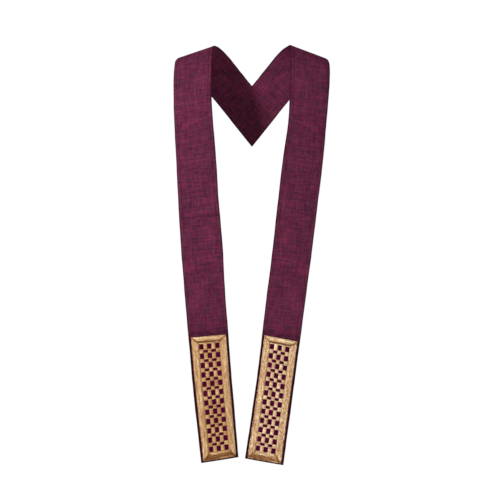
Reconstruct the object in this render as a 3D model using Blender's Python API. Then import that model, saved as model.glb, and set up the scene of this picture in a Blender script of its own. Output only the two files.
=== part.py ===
"""A clerical stole as it is worn: two bands of interlined cloth that hang from the shoulders.

Each band runs from its hem up the wearer's front, over the shoulder and in to a mitred seam at the
centre back. Each end carries an embroidered panel, a padded gold frame round a gold check.
Metres, +Z up. The wearer faces -Y, and +X is the wearer's left. The origin lies on the middle
plane, level with the places where the bands' inner edges cross the tops of the shoulders.
"""
import bpy
import numpy as np

# ---------------------------------------------------------------- driving dimensions, in metres
MM = 0.001
CLOTH_WALL = 2.0 * MM          # shantung, interlining and turned edges together
BAND_WIDTH = 102.0 * MM        # cut width of a band, which the panel is laid out on
SEAM_GAP = 0.3 * MM            # between pieces that are sewn together
DROOP_START = 0.88             # the outer edge turns down past this part of the width
ACROSS_STEPS = 10              # wall points across a band, closer together at its edges
PROBE_ALONG = 1.0 * MM         # distances over which the face's direction is taken
PROBE_ACROSS = 0.01            # as a part of the band's width
SHARP_ANGLE = 40.0             # degrees between faces that meet in a hard edge

HEM_MARGIN = 3.5 * MM          # cloth that shows below the frame
SIDE_MARGIN = 6.4 * MM         # cloth that shows beside the frame
FRAME_LENGTH = 309.5 * MM
SIDE_BAR = 17.5 * MM           # widths of the frame's padded bars
TOP_BAR = 15.0 * MM
BOTTOM_BAR = 17.5 * MM
SIDE_BAR_RISE = 2.6 * MM       # how far the bars stand proud of the cloth
TOP_BAR_RISE = 3.4 * MM
BOTTOM_BAR_RISE = 2.8 * MM
FRAME_LONG_STEPS = 10
FRAME_SHORT_STEPS = 4

LARGE_ROWS = 12                # rows of three large blocks, with rows of two small ones between
LARGE_COLUMNS = 3
ROW_PITCH = 23.4 * MM
LARGE_BLOCK = (11.2 * MM, 13.4 * MM)      # width across the band, length along it
SMALL_BLOCK_LENGTH = 7.0 * MM
COLUMN_GAP = 9.4 * MM          # gold between large blocks, and the width of a small block
CHECK_WALL = 0.9 * MM          # thickness of the embroidered gold
PILLOW_RISE = 0.5 * MM         # crown of each gold block
FIELD_FOOT = 1.8 * MM          # gold between the lowest blocks and the bottom bar

# Profile of a padded bar: part of its width from the outer foot, part of its full rise.
BAR_PROFILE = ((0.00, 0.26), (0.08, 0.52), (0.26, 0.86), (0.50, 1.00), (0.74, 0.84), (0.92, 0.48), (1.00, 0.22))
FOOT_SHARES = (0.00, 0.50, 1.00)         # places of the profile that have a point underneath

# ---------------------------------------------------------------- the worn shape
# A row is a line across the band, in millimetres, from its inner edge to its outer one. x is the
# distance from the middle plane towards that side's arm, y is towards the back, z is up. crown is
# how far the cloth arches outward in the middle, and droop how far its outer edge turns down.
# steps is the number of wall sections from this row to the next.
COLUMNS = ("in_x", "in_y", "in_z", "out_x", "out_y", "out_z", "crown", "droop", "steps")

RIGHT_FRONT = (
    # in_x, in_y,   in_z,   out_x, out_y,  out_z, crown, droop, steps
    (33.9, -127.0, -1053.3, 127.8, -141.0, -1066.3, 3.0, 0.0, 3),     # hem
    (42.3, -126.0, -954.2, 138.7, -139.0, -967.3, 3.0, 0.0, 3),
    (50.8, -126.0, -856.3, 149.7, -136.1, -867.9, 2.5, 0.0, 3),
    (58.6, -127.0, -755.1, 158.9, -132.1, -763.9, 2.0, 0.0, 3),       # top of the panel
    (66.8, -129.0, -651.0, 168.9, -126.6, -656.7, 1.5, 0.0, 3),
    (73.6, -133.6, -527.4, 178.7, -123.0, -532.6, 1.5, 0.0, 3),
    (83.5, -138.0, -407.9, 186.5, -122.0, -412.1, 2.0, 0.0, 3),
    (90.6, -138.5, -300.0, 191.9, -114.5, -302.0, 3.0, 0.5, 3),       # fullest part of the chest
    (98.3, -131.0, -204.0, 197.8, -100.0, -209.0, 3.5, 1.0, 3),
    (102.8, -113.5, -135.0, 199.8, -87.0, -157.0, 3.0, 2.0, 2),
    (102.8, -96.0, -95.0, 200.6, -77.0, -127.0, 2.0, 3.0, 2),
    (102.3, -78.0, -58.0, 201.0, -66.0, -97.0, 1.5, 4.0, 2),
    (101.6, -63.0, -36.0, 201.0, -55.0, -78.0, 1.0, 5.5, 2),
    (100.4, -44.0, -17.5, 200.6, -41.0, -62.0, 0.5, 6.5, 2),
    (98.8, -22.5, -5.0, 200.0, -22.0, -50.0, 0.0, 7.0, 2),
    (96.5, 0.0, 0.0, 199.0, 0.0, -43.5, 0.0, 7.0, 2),                 # top of the shoulder
)
LEFT_FRONT = (
    (-18.3, -127.0, -1056.4, 78.6, -143.0, -1071.4, 3.0, 0.0, 3),     # hem
    (-2.8, -126.0, -955.1, 91.7, -141.1, -972.1, 3.0, 0.0, 3),
    (11.5, -126.1, -856.0, 105.3, -138.1, -874.0, 2.5, 0.0, 3),
    (24.3, -128.2, -751.9, 119.3, -134.7, -769.8, 2.0, 0.0, 3),       # top of the panel
    (36.4, -131.2, -648.3, 134.2, -129.2, -661.2, 1.5, 0.0, 3),
    (51.9, -136.0, -527.3, 151.0, -124.1, -534.7, 1.5, 0.0, 3),
    (64.7, -138.0, -408.5, 166.4, -123.0, -412.5, 2.0, 0.0, 3),
    (77.9, -136.5, -300.0, 179.7, -117.5, -303.0, 3.0, 0.5, 3),       # fullest part of the chest
    (91.2, -129.5, -204.0, 189.1, -103.0, -210.0, 3.5, 1.0, 3),
    (95.5, -112.5, -135.0, 194.0, -89.5, -157.0, 3.0, 2.0, 2),
    (97.3, -96.0, -94.5, 196.8, -79.5, -127.0, 2.0, 3.0, 2),
    (98.0, -78.0, -57.0, 199.0, -68.0, -97.0, 1.5, 4.0, 2),
    (98.2, -63.0, -35.0, 200.3, -56.5, -78.0, 1.0, 5.5, 2),
    (98.3, -44.0, -16.0, 200.8, -42.0, -62.5, 0.5, 6.5, 2),
    (98.3, -22.5, -3.5, 200.5, -22.5, -51.0, 0.0, 7.0, 2),
    (97.8, 0.0, 2.0, 199.5, 0.0, -45.0, 0.0, 7.0, 2),                 # top of the shoulder
)
BACK = (
    (92.0, 14.0, 0.0, 189.5, 26.0, -43.5, 0.3, 5.0, 2),
    (85.5, 28.0, -2.0, 175.0, 50.0, -51.5, 0.8, 3.0, 2),
    (75.0, 47.0, -9.0, 149.5, 74.5, -76.0, 2.0, 1.0, 2),
    (60.0, 64.0, -24.0, 118.0, 93.0, -111.0, 2.5, 0.0, 2),
    (44.0, 77.0, -42.0, 86.0, 105.0, -149.0, 3.0, 0.0, 2),
    (28.0, 87.0, -61.0, 54.0, 111.5, -189.0, 3.5, 0.0, 2),
    (11.5, 95.0, -81.0, 21.5, 114.5, -229.5, 4.0, 0.0, 2),
    (0.0, 98.5, -94.5, 0.0, 115.5, -256.0, 4.5, 0.0, 0),              # mitred centre-back seam
)

SIDES = {"right": (-1.0, RIGHT_FRONT), "left": (1.0, LEFT_FRONT)}

# ---------------------------------------------------------------- materials: colour, roughness, metallic
FINISHES = {
    "purple_cloth": ((0.135, 0.022, 0.060, 1.0), 0.75, 0.0),
    "gold_frame": ((0.62, 0.42, 0.17, 1.0), 0.45, 0.0),
    "gold_check": ((0.60, 0.42, 0.18, 1.0), 0.50, 0.0),
}


def clear_scene():
    for old in list(bpy.data.objects):
        bpy.data.objects.remove(old, do_unlink=True)


def finish_material(name):
    color, roughness, metallic = FINISHES[name]
    material = bpy.data.materials.new(name)
    material.use_nodes = True
    shader = material.node_tree.nodes["Principled BSDF"]
    shader.inputs["Base Color"].default_value = color
    shader.inputs["Roughness"].default_value = roughness
    shader.inputs["Metallic"].default_value = metallic
    material.diffuse_color = color
    return material


def unit(vectors):
    return vectors / np.linalg.norm(vectors, axis=-1, keepdims=True)


class WornBand:
    """The outer face of one band: a smooth surface through the rows of its table.

    along is measured up from the hem, midway between the edges, in metres. across goes from 0 at
    the inner edge to 1 at the outer edge. All of it is worked out towards +X, and side mirrors it.
    """

    def __init__(self, side, front_rows):
        self.side = side
        table = np.array(front_rows + BACK, dtype=float)
        row = {name: table[:, place] for place, name in enumerate(COLUMNS)}
        self.inner = np.stack([row["in_x"], row["in_y"], row["in_z"]], axis=1) * MM
        self.outer = np.stack([row["out_x"], row["out_y"], row["out_z"]], axis=1) * MM
        self.values = np.column_stack([self.inner, self.outer, row["crown"] * MM, row["droop"] * MM])
        middle = (self.inner + self.outer) / 2.0
        lengths = np.linalg.norm(np.diff(middle, axis=0), axis=1)
        self.along = np.concatenate([[0.0], np.cumsum(lengths)])
        self.steps = row["steps"].astype(int)
        chords = np.diff(self.values, axis=0) / lengths[:, None]
        weight = lengths[1:, None] / (lengths[1:, None] + lengths[:-1, None])
        inside = chords[:-1] * weight + chords[1:] * (1.0 - weight)
        self.slopes = np.concatenate([chords[:1], inside, chords[-1:]])

    def row_at(self, along):
        """Edge points, crown and droop at a place along the band, by a smooth cubic between rows."""
        start = int(np.clip(np.searchsorted(self.along, along) - 1, 0, len(self.along) - 2))
        span = self.along[start + 1] - self.along[start]
        t = (along - self.along[start]) / span
        first = (1.0 + 2.0 * t) * (1.0 - t) ** 2 * self.values[start]
        first = first + t * (1.0 - t) ** 2 * span * self.slopes[start]
        last = t * t * (3.0 - 2.0 * t) * self.values[start + 1]
        return first + last - t * t * (1.0 - t) * span * self.slopes[start + 1]

    def arch(self, across, crown, droop):
        """How far the face stands proud of the straight line between the band's edges."""
        rising = across / DROOP_START
        turning = (across - DROOP_START) / (1.0 - DROOP_START)
        edge = rising if across <= DROOP_START else 1.0 - turning ** 2
        return crown * 4.0 * across * (1.0 - across) + droop * edge

    def line_point(self, along, across):
        row = self.row_at(along)
        return row[0:3] + (row[3:6] - row[0:3]) * across

    def outward(self, along, across):
        """Unit direction away from the wearer."""
        low = max(along - PROBE_ALONG, 0.0)
        high = min(along + PROBE_ALONG, self.along[-1])
        run = self.line_point(high, across) - self.line_point(low, across)
        row = self.row_at(along)
        return unit(np.cross(row[3:6] - row[0:3], run))

    def face_point(self, along, across):
        row = self.row_at(along)
        rise = self.arch(across, row[6], row[7])
        return self.line_point(along, across) + self.outward(along, across) * rise

    def face_normal(self, along, across):
        left = self.face_point(along, max(across - PROBE_ACROSS, 0.0))
        right = self.face_point(along, min(across + PROBE_ACROSS, 1.0))
        low = self.face_point(max(along - PROBE_ALONG, 0.0), across)
        high = self.face_point(min(along + PROBE_ALONG, self.along[-1]), across)
        return unit(np.cross(right - left, high - low))

    def raised(self, along, across, height):
        """A point this far off the band's outer face. A negative height is towards the wearer."""
        point = self.face_point(along, across) + self.face_normal(along, across) * height
        return point

    def sections(self):
        """Places along the band where its wall has a section."""
        places = []
        for start, count in enumerate(self.steps[:-1]):
            for step in range(count):
                share = step / count
                places.append(self.along[start] * (1.0 - share) + self.along[start + 1] * share)
        places.append(self.along[-1])
        return places


def make_object(name, side, points, faces, material, collection):
    """One closed solid from its points and faces, mirrored to its side of the middle plane."""
    placed = [(point[0] * side, point[1], point[2]) for point in points]
    wound = [tuple(reversed(face)) for face in faces] if side < 0.0 else faces
    mesh = bpy.data.meshes.new(name)
    mesh.from_pydata(placed, [], wound)
    mesh.materials.append(material)
    mesh.update()
    mesh.shade_smooth()
    mesh.set_sharp_from_angle(angle=np.radians(SHARP_ANGLE))
    solid = bpy.data.objects.new(name, mesh)
    collection.objects.link(solid)
    return solid


def join_rings(ring_count, ring_size, closed):
    """Side faces between rings of points that run round the same way."""
    faces = []
    last = ring_count if closed else ring_count - 1
    for ring in range(last):
        here = ring * ring_size
        there = ((ring + 1) % ring_count) * ring_size
        for place in range(ring_size):
            following = (place + 1) % ring_size
            faces.append((here + place, here + following, there + following, there + place))
    return faces


def make_band(name, band, material, collection):
    """The cloth wall: rounded at its edges, square at the hem and at the centre-back seam."""
    turns = np.arange(ACROSS_STEPS + 1) * np.pi / ACROSS_STEPS
    across = 0.5 - 0.5 * np.cos(turns)
    points = []
    places = band.sections()
    for along in places:
        ring = [band.raised(along, 0.0, -CLOTH_WALL / 2.0)]
        ring += [band.raised(along, share, 0.0) for share in across[1:-1]]
        ring += [band.raised(along, 1.0, -CLOTH_WALL / 2.0)]
        ring += [band.raised(along, share, -CLOTH_WALL) for share in across[-2:0:-1]]
        points += ring
    ring_size = 2 * ACROSS_STEPS
    for point in points[-ring_size:]:
        point[0] = SEAM_GAP / 2.0
    faces = join_rings(len(places), ring_size, closed=False)
    first_of_last = (len(places) - 1) * ring_size
    faces += cap_faces(0, flip=True) + cap_faces(first_of_last, flip=False)
    return make_object(name, band.side, points, faces, material, collection)


def cap_faces(first, flip):
    """Strips that close one end of the cloth wall, from its inner edge to its outer one."""
    ring_size = 2 * ACROSS_STEPS
    strips = [(first, first + 1, first + ring_size - 1)]
    for place in range(1, ACROSS_STEPS - 1):
        under = ring_size - place
        strips.append((first + place, first + place + 1, first + under - 1, first + under))
    strips.append((first + ACROSS_STEPS - 1, first + ACROSS_STEPS, first + ACROSS_STEPS + 1))
    return [tuple(reversed(strip)) for strip in strips] if flip else strips


def frame_stations():
    """Places round the frame, each with its outer foot, its inner foot and the bar's rise there.

    A foot is a pair: distance from the band's inner edge, distance up from its hem.
    """
    left, right = SIDE_MARGIN, BAND_WIDTH - SIDE_MARGIN
    low, high = HEM_MARGIN, HEM_MARGIN + FRAME_LENGTH
    outer = np.array([(left, low), (right, low), (right, high), (left, high)])
    insets = ((SIDE_BAR, BOTTOM_BAR), (-SIDE_BAR, BOTTOM_BAR), (-SIDE_BAR, -TOP_BAR), (SIDE_BAR, -TOP_BAR))
    inner = outer + np.array(insets)
    rises = (BOTTOM_BAR_RISE, SIDE_BAR_RISE, TOP_BAR_RISE, SIDE_BAR_RISE)
    counts = (FRAME_SHORT_STEPS, FRAME_LONG_STEPS, FRAME_SHORT_STEPS, FRAME_LONG_STEPS)
    stations = []
    for corner in range(4):
        following = (corner + 1) % 4
        corner_rise = (rises[corner] + rises[corner - 1]) / 2.0
        for step in range(counts[corner]):
            share = step / counts[corner]
            outer_foot = outer[corner] * (1.0 - share) + outer[following] * share
            inner_foot = inner[corner] * (1.0 - share) + inner[following] * share
            stations.append((outer_foot, inner_foot, corner_rise if step == 0 else rises[corner]))
    return stations


def make_frame(name, band, material, collection):
    """The padded gold frame: one bar profile swept round the panel, mitred at its corners."""
    points = []
    stations = frame_stations()
    for outer_foot, inner_foot, rise in stations:
        top = []
        foot = []
        for share, height in BAR_PROFILE:
            spot = outer_foot * (1.0 - share) + inner_foot * share
            across = spot[0] / BAND_WIDTH
            top.append(band.raised(spot[1], across, SEAM_GAP + height * rise))
            if share in FOOT_SHARES:
                foot.append(band.raised(spot[1], across, SEAM_GAP))
        points += top + foot[::-1]
    faces = join_rings(len(stations), len(BAR_PROFILE) + len(FOOT_SHARES), closed=True)
    faces = [tuple(reversed(face)) for face in faces]
    return make_object(name, band.side, points, faces, material, collection)


def check_lines():
    """Grid lines of the check: across the band from its inner edge, and up from its hem."""
    field_low = HEM_MARGIN + BOTTOM_BAR + SEAM_GAP
    field_high = HEM_MARGIN + FRAME_LENGTH - TOP_BAR - SEAM_GAP
    field_left = SIDE_MARGIN + SIDE_BAR + SEAM_GAP
    field_right = BAND_WIDTH - field_left
    width = LARGE_COLUMNS * LARGE_BLOCK[0] + (LARGE_COLUMNS - 1) * COLUMN_GAP
    edge = (field_left + field_right - width) / 2.0
    columns = [field_left]
    for _ in range(LARGE_COLUMNS):
        columns += [edge, edge + LARGE_BLOCK[0]]
        edge += LARGE_BLOCK[0] + COLUMN_GAP
    columns.append(field_right)
    rows = [field_low]
    for number in range(LARGE_ROWS):
        start = field_low + FIELD_FOOT + number * ROW_PITCH
        rows += [start, start + LARGE_BLOCK[1]]
        if number < LARGE_ROWS - 1:
            line = (ROW_PITCH - LARGE_BLOCK[1] - SMALL_BLOCK_LENGTH) / 2.0
            small = start + LARGE_BLOCK[1] + line
            rows += [small, small + SMALL_BLOCK_LENGTH]
    rows.append(field_high)
    return columns, rows


def cell_kind(column, row):
    """What one cell of the check is: open for a purple block, a gold pillow, or plain gold."""
    last_row = 4 * LARGE_ROWS - 2
    if row in (0, last_row) or column in (0, 2 * LARGE_COLUMNS):
        return "plain"
    in_large_row = row % 4 == 1
    in_small_row = row % 4 == 3
    in_large_column = column % 2 == 1
    if (in_large_row and in_large_column) or (in_small_row and not in_large_column):
        return "open"
    return "pillow" if in_large_row or in_small_row else "plain"


def make_check(name, band, material, collection):
    """The gold check: a thin sheet on the band, cut through at each purple block."""
    columns, rows = check_lines()
    wide, tall = len(columns), len(rows)
    points = []
    for height in (SEAM_GAP, SEAM_GAP + CHECK_WALL):
        for along in rows:
            points += [band.raised(along, spot / BAND_WIDTH, height) for spot in columns]
    layer = wide * tall

    def corner(column, row, level):
        return level * layer + row * wide + column

    def is_gold(column, row):
        inside = 0 <= column < wide - 1 and 0 <= row < tall - 1
        return inside and cell_kind(column, row) != "open"

    faces = []
    for row in range(tall - 1):
        for column in range(wide - 1):
            if not is_gold(column, row):
                continue
            ring = [(column, row), (column + 1, row), (column + 1, row + 1), (column, row + 1)]
            under = [corner(*spot, 0) for spot in ring]
            upper = [corner(*spot, 1) for spot in ring]
            faces.append(tuple(reversed(under)))
            if cell_kind(column, row) == "pillow":
                middle = (columns[column] + columns[column + 1]) / 2.0
                along = (rows[row] + rows[row + 1]) / 2.0
                crown = SEAM_GAP + CHECK_WALL + PILLOW_RISE
                points.append(band.raised(along, middle / BAND_WIDTH, crown))
                faces += [(upper[k], upper[(k + 1) % 4], len(points) - 1) for k in range(4)]
            else:
                faces.append(tuple(upper))
            neighbours = ((column, row - 1), (column + 1, row), (column, row + 1), (column - 1, row))
            for k, neighbour in enumerate(neighbours):
                if not is_gold(*neighbour):
                    following = (k + 1) % 4
                    faces.append((under[k], under[following], upper[following], upper[k]))
    return make_object(name, band.side, points, faces, material, collection)


def main():
    clear_scene()
    collection = bpy.data.collections.new("clerical_stole")
    bpy.context.scene.collection.children.link(collection)
    materials = {name: finish_material(name) for name in FINISHES}
    for side_name, (side, front_rows) in SIDES.items():
        band = WornBand(side, front_rows)
        make_band("band_" + side_name, band, materials["purple_cloth"], collection)
        make_frame("frame_" + side_name, band, materials["gold_frame"], collection)
        make_check("check_" + side_name, band, materials["gold_check"], collection)


main()
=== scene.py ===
"""Looks of the clerical stole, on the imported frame.

The two bands become thin cloth shells with rounded edges, turned hems and soft creases, and the
embroidery becomes real stitches on its padding. The shells and the stitches are worked out on the
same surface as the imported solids: the rows below are the ones that the solids are built from.
Metres, +Z up. The wearer faces -Y, and +X is the wearer's left.
"""
import math

import bpy
import numpy as np
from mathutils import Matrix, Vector


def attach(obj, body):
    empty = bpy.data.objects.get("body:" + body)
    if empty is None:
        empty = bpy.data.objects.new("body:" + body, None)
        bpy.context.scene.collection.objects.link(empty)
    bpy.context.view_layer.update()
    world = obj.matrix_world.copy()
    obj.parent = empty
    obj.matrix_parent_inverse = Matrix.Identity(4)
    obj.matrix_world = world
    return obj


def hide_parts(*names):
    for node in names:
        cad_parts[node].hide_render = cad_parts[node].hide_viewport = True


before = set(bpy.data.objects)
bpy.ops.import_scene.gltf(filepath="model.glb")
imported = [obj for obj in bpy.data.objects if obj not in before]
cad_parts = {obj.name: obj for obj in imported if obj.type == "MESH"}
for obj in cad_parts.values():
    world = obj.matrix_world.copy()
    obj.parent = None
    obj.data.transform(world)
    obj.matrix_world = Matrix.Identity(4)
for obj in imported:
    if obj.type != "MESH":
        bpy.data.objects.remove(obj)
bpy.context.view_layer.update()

# ---- sizes shared with the solids
MM = 0.001
CLOTH_WALL = 2.0 * MM
BAND_WIDTH = 102.0 * MM
SEAM_GAP = 0.3 * MM            # between pieces that are sewn together
DROOP_START = 0.88             # the outer edge turns down past this part of the width

HEM_MARGIN = 3.5 * MM          # cloth that shows below the frame
SIDE_MARGIN = 6.4 * MM         # cloth that shows beside the frame
FRAME_LENGTH = 309.5 * MM
PANEL_TOP = HEM_MARGIN + FRAME_LENGTH
SIDE_BAR = 17.5 * MM           # widths of the frame's padded bars
TOP_BAR = 15.0 * MM
BOTTOM_BAR = 17.5 * MM
SIDE_BAR_RISE = 2.6 * MM       # how far the bars stand proud of the cloth
TOP_BAR_RISE = 3.4 * MM
BOTTOM_BAR_RISE = 2.8 * MM

LARGE_ROWS = 12                # rows of three large blocks, with rows of two small ones between
LARGE_COLUMNS = 3
ROW_PITCH = 23.4 * MM
LARGE_BLOCK = (11.2 * MM, 13.4 * MM)      # width across the band, length along it
COLUMN_GAP = 9.4 * MM

# A row is a line across the band, in millimetres, from its inner edge to its outer one. x is the
# distance from the middle plane towards that side's arm, y is towards the back, z is up. crown is
# how far the cloth arches outward in the middle, and droop how far its outer edge turns down.
RIGHT_FRONT = (
    # in_x, in_y,   in_z,   out_x, out_y,  out_z, crown, droop
    (33.9, -127, -1053.3, 127.8, -141, -1066.3, 3, 0),      # hem
    (42.3, -126, -954.2, 138.7, -139, -967.3, 3, 0),
    (50.8, -126, -856.3, 149.7, -136.1, -867.9, 2.5, 0),
    (58.6, -127, -755.1, 158.9, -132.1, -763.9, 2, 0),      # top of the panel
    (66.8, -129, -651, 168.9, -126.6, -656.7, 1.5, 0),
    (73.6, -133.6, -527.4, 178.7, -123, -532.6, 1.5, 0),
    (83.5, -138, -407.9, 186.5, -122, -412.1, 2, 0),
    (90.6, -138.5, -300, 191.9, -114.5, -302, 3, 0.5),      # fullest part of the chest
    (98.3, -131, -204, 197.8, -100, -209, 3.5, 1),
    (102.8, -113.5, -135, 199.8, -87, -157, 3, 2),
    (102.8, -96, -95, 200.6, -77, -127, 2, 3),
    (102.3, -78, -58, 201, -66, -97, 1.5, 4),
    (101.6, -63, -36, 201, -55, -78, 1, 5.5),
    (100.4, -44, -17.5, 200.6, -41, -62, 0.5, 6.5),
    (98.8, -22.5, -5, 200, -22, -50, 0, 7),
    (96.5, 0, 0, 199, 0, -43.5, 0, 7),                      # top of the shoulder
)
LEFT_FRONT = (
    (-18.3, -127, -1056.4, 78.6, -143, -1071.4, 3, 0),      # hem
    (-2.8, -126, -955.1, 91.7, -141.1, -972.1, 3, 0),
    (11.5, -126.1, -856, 105.3, -138.1, -874, 2.5, 0),
    (24.3, -128.2, -751.9, 119.3, -134.7, -769.8, 2, 0),    # top of the panel
    (36.4, -131.2, -648.3, 134.2, -129.2, -661.2, 1.5, 0),
    (51.9, -136, -527.3, 151, -124.1, -534.7, 1.5, 0),
    (64.7, -138, -408.5, 166.4, -123, -412.5, 2, 0),
    (77.9, -136.5, -300, 179.7, -117.5, -303, 3, 0.5),      # fullest part of the chest
    (91.2, -129.5, -204, 189.1, -103, -210, 3.5, 1),
    (95.5, -112.5, -135, 194, -89.5, -157, 3, 2),
    (97.3, -96, -94.5, 196.8, -79.5, -127, 2, 3),
    (98, -78, -57, 199, -68, -97, 1.5, 4),
    (98.2, -63, -35, 200.3, -56.5, -78, 1, 5.5),
    (98.3, -44, -16, 200.8, -42, -62.5, 0.5, 6.5),
    (98.3, -22.5, -3.5, 200.5, -22.5, -51, 0, 7),
    (97.8, 0, 2, 199.5, 0, -45, 0, 7),                      # top of the shoulder
)
BACK = (
    (92, 14, 0, 189.5, 26, -43.5, 0.3, 5),
    (85.5, 28, -2, 175, 50, -51.5, 0.8, 3),
    (75, 47, -9, 149.5, 74.5, -76, 2, 1),
    (60, 64, -24, 118, 93, -111, 2.5, 0),
    (44, 77, -42, 86, 105, -149, 3, 0),
    (28, 87, -61, 54, 111.5, -189, 3.5, 0),
    (11.5, 95, -81, 21.5, 114.5, -229.5, 4, 0),
    (0, 98.5, -94.5, 0, 115.5, -256, 4.5, 0),               # mitred centre-back seam
)

SIDES = {"right": (-1, RIGHT_FRONT), "left": (1, LEFT_FRONT)}

# ---- how the cloth lies and is made up
# Soft creases, in millimetres: place up from the hem, place out from the inner edge, length,
# width, angle from a line straight across the band in degrees, and depth. A negative depth is a
# trough.
RIGHT_CREASES = (
    (320, 58, 84, 3.4, 4, -0.75),           # pull of the embroidery, just above the frame
    (331, 26, 26, 4, 68, -0.55),
    (337, 50, 32, 5, 96, -0.65),
    (330, 79, 22, 4, 108, -0.50),
    (386, 64, 66, 9, 9, -0.55),
    (431, 36, 74, 12, -12, 0.50),
    (492, 62, 90, 10, 14, -0.45),
    (557, 30, 58, 8, -8, -0.40),
    (613.5, 51, 170, 2, -2.5, -1.20),       # fold from when it lay in its box
    (668, 70, 120, 13, 76, -0.70),
    (742, 33, 140, 15, 84, 0.60),
    (806, 58, 84, 12, 32, -0.70),           # round the chest
    (866, 42, 96, 13, -24, -0.85),
    (925, 66, 80, 10, 18, -0.60),
    (974, 36, 60, 8, -10, -0.45),
    (1158, 50, 90, 12, -22, -0.80),         # behind the shoulder
    (1222, 60, 110, 15, 38, -0.90),
    (1300, 46, 80, 11, -16, -0.60),
)
LEFT_CREASES = (
    (320, 44, 78, 3.4, -5, -0.70),
    (334, 30, 26, 4.5, 84, -0.60),
    (330, 62, 22, 4, 70, -0.50),
    (339, 80, 34, 5, 101, -0.60),
    (398, 40, 70, 9, -7, -0.50),
    (440, 52, 170, 2.2, 0, -0.60),          # fold from when it lay in its box
    (506, 66, 82, 12, 12, 0.50),
    (571, 36, 64, 9, -14, -0.45),
    (626, 50, 150, 2.6, 0.5, -0.45),
    (690, 34, 110, 13, 98, -0.60),
    (764, 68, 130, 14, 88, 0.55),
    (822, 46, 90, 13, -30, -0.80),
    (884, 62, 84, 12, 22, -0.80),
    (936, 34, 76, 10, -16, -0.55),
    (982, 64, 64, 8, 12, -0.45),
    (1150, 56, 96, 12, 20, -0.85),
    (1216, 42, 104, 14, -34, -0.85),
    (1296, 58, 84, 11, 18, -0.60),
)
CREASES = {"right": RIGHT_CREASES, "left": LEFT_CREASES}
CALM_ABOVE_PANEL = 5.0 * MM    # the creases fade in over this length above the embroidery
SHARP_CREASE = 4.0             # narrower creases, in mm, get close sections and a line of painted shade
UNDER_CREASE = 0.3             # how much deeper a crease is underneath

TURNED_EDGE = 9.0 * MM         # cloth folded under along both edges, which shows as a soft step
TURNED_EDGE_RISE = 0.22 * MM
STEP_REACH = (-1.2 * MM, 0.6 * MM)      # where the step falls, from the turned edge
EDGE_GROOVE = 0.30 * MM        # depth of the groove beside the step
GROOVE_PLACE = 0.3 * MM
GROOVE_WIDTH = 0.9 * MM
STEP_VARIES = 0.3              # the part of the step that comes and goes along the edge
EDGE_WANDER = 0.40 * MM        # how far a hand-pressed edge strays from its line
EDGE_FLUTTER = 0.35 * MM
FLUTTER_ABOVE_PANEL = 60.0 * MM    # the flutter fades in over this length above the embroidery
FLUTTER_AT_SEAM = 30.0 * MM    # and out over this one before the centre-back seam
WANDER_AT_SEAM = 40.0 * MM     # as the straying does over this one
# Waves of both: length in mm, share and phase.
WANDER_WAVES = ((211.0, 0.45, 0.4), (97.0, 0.35, 1.9), (43.0, 0.20, 4.1))

SEAM_LAP = 0.1 * MM            # the two shells close the centre-back seam
THINNEST_HALF = 0.05 * MM      # half the wall, at its rounded edge
SEAM_HALF = 0.6                # half the wall at the seam, as a part of its full half
SEAM_REACH = 1.0 * MM
STATION_STEP = 3.0 * MM        # from one section of the wall to the next along a band
FINE_STEP = 1.0 * MM           # and near its sharp creases
FINE_REACH = 7.0 * MM
# Points across the wall, in mm from an edge. The first few also round the band's ends.
EDGE_STEPS = (0.0, 0.12, 0.42, 0.95, 1.7, 3.0, 5.0, 7.0, 8.1, 8.7, 9.3, 10.0, 11.2, 13.5)
END_STEPS = 5
MIDDLE_STEPS = 25

# ---- embroidery
# In the solids the small blocks are 9.4 x 7.0 mm and the lowest blocks start 1.8 mm up.
SMALL_BLOCK_LENGTH = 7.2 * MM
SMALL_SPREAD = 1.1 * MM        # the small blocks' thread pushes the gold back this far on each side
FIELD_FOOT = {"right": 2.3 * MM, "left": 3.1 * MM}    # gold below the lowest blocks

LANE_PITCH = 0.92 * MM         # rows of gold thread along a padded bar
BAR_STITCH = 4.6 * MM
BAR_THREAD = 0.42 * MM         # height of a thread over its padding
PADDING_DROP = 0.25 * MM       # padding under the thread, below the bar's full height
PADDING_STEPS = (46, 110, 46, 110)     # sections of the padding along each bar
PADDING_POINTS = 17            # over each section
MITRE_GROOVE = 0.80 * MM
SATIN_PITCH = 0.62 * MM        # threads side by side in a block of the check
SATIN_THREAD = 0.34 * MM
SATIN_HALF = 0.56              # half a thread's width, as a part of the pitch
LINE_PITCH = 0.78 * MM         # gold threads between the rows of blocks
LINE_STITCH = 8.5 * MM
RIM_HALF = 0.42 * MM           # half the width of the gold threads beside the frame
RIM_INSET = 0.25 * MM
SHORTEST_STITCH = 1.3 * MM
GROUND_HEIGHT = 0.62 * MM      # gold ground of the check, over the cloth
PILLOW_CROWN = 0.50 * MM
BLOCK_HEIGHT = 0.12 * MM       # purple blocks lie lower than the gold
BLOCK_CROWN = 0.25 * MM
NEEDLE_DIP = 0.30 * MM         # how far a thread dives where it goes through the cloth
GOLD_SUNK = 0.12 * MM          # how far the gold threads press into their padding or ground
LINE_LIFT = 0.05 * MM          # the thin rows press in this much less
SHEET_SUNK = 0.10 * MM         # the ground sheet and the purple threads lie this far lower
SUNK = 0.20 * MM               # how far the embroidery's underside sits in the nap of the cloth

# A stitch from end to end: part of its length, part of its full width, height in needle dips.
STITCH_RUN = (
    (0.00, 0.55, -1.00), (0.13, 0.92, -0.15), (0.50, 1.00, 0.00), (0.87, 0.92, -0.15),
    (1.00, 0.55, -1.00),
)
# A thread's section: part of its half width, part of its height.
THREAD_SECTION = ((-1.0, 0.0), (-0.72, 0.66), (0.0, 1.0), (0.72, 0.66), (1.0, 0.0))

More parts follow.
